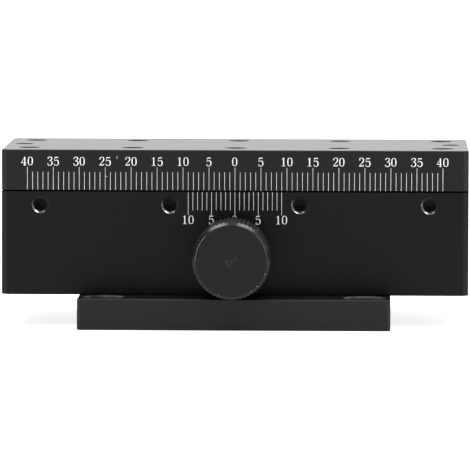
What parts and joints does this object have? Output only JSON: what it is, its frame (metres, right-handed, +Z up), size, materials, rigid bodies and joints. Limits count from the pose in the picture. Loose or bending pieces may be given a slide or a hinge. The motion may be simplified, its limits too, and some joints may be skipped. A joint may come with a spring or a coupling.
{
  "type": "manual linear stage",
  "caption": "Manual linear stage: a table with a scale slides on a dovetail way, driven by a knob with rack and pinion, over a square base plate.",
  "frame": {"origin": "centre of the base plate's underside", "axes": "+X along the travel (to the right, seen from the knob), -Y towards the scale and the knob, +Z up out of the table's top face"},
  "size_m": [0.09, 0.0648, 0.034],
  "materials": {
    "black_anodised_aluminium": "bead blasted and black anodised, satin",
    "black_oxide_steel": "black oxide, slightly oily",
    "bright_steel": "ground",
    "brass": "machined",
    "white_plastic": "smooth, slippery"
  },
  "bodies": {
    "base": {"base_plate": "black_anodised_aluminium", "base_screws": "black_oxide_steel", "body_block": "black_anodised_aluminium", "gib_strip": "brass", "gib_screws": "black_oxide_steel", "front_bushing": "brass", "rear_bushing": "brass", "bushing_set_screw": "black_oxide_steel", "thrust_washer": "white_plastic"},
    "table": {"table_plate": "black_anodised_aluminium", "rack": "brass", "rack_screws": "black_oxide_steel", "stop_screws": "black_oxide_steel"},
    "pinion": {"pinion_shaft": "bright_steel", "disc_spring": "bright_steel", "knob": "black_anodised_aluminium", "knob_set_screw": "black_oxide_steel"},
    "lock_pad": {"lock_pad": "brass"},
    "lock_screw": {"lock_stud": "bright_steel", "lock_head": "black_anodised_aluminium"}
  },
  "joints": [
    {"name": "table_slide", "type": "slide", "parent": "base", "child": "table", "axis": [1, 0, 0], "range_m": [-0.035, 0.035]},
    {"name": "knob_turn", "type": "hinge", "parent": "base", "child": "pinion", "pos_m": [-0.00035, 0, 0.0137], "axis": [0, 1, 0], "range_deg": [-670, 670]},
    {"name": "lock_advance", "type": "slide", "parent": "base", "child": "lock_pad", "axis": [0, -1, 0], "range_m": [0, 0.000165]},
    {"name": "lock_turn", "type": "hinge", "parent": "lock_pad", "child": "lock_screw", "pos_m": [0, 0.02, 0.0234], "axis": [0, -1, 0], "range_deg": [0, 85]}
  ],
  "couplings": [
    {"joint": "knob_turn", "follows": "table_slide", "rad_per_m": 333.33},
    {"joint": "lock_turn", "follows": "lock_advance", "rad_per_m": 8976}
  ]
}
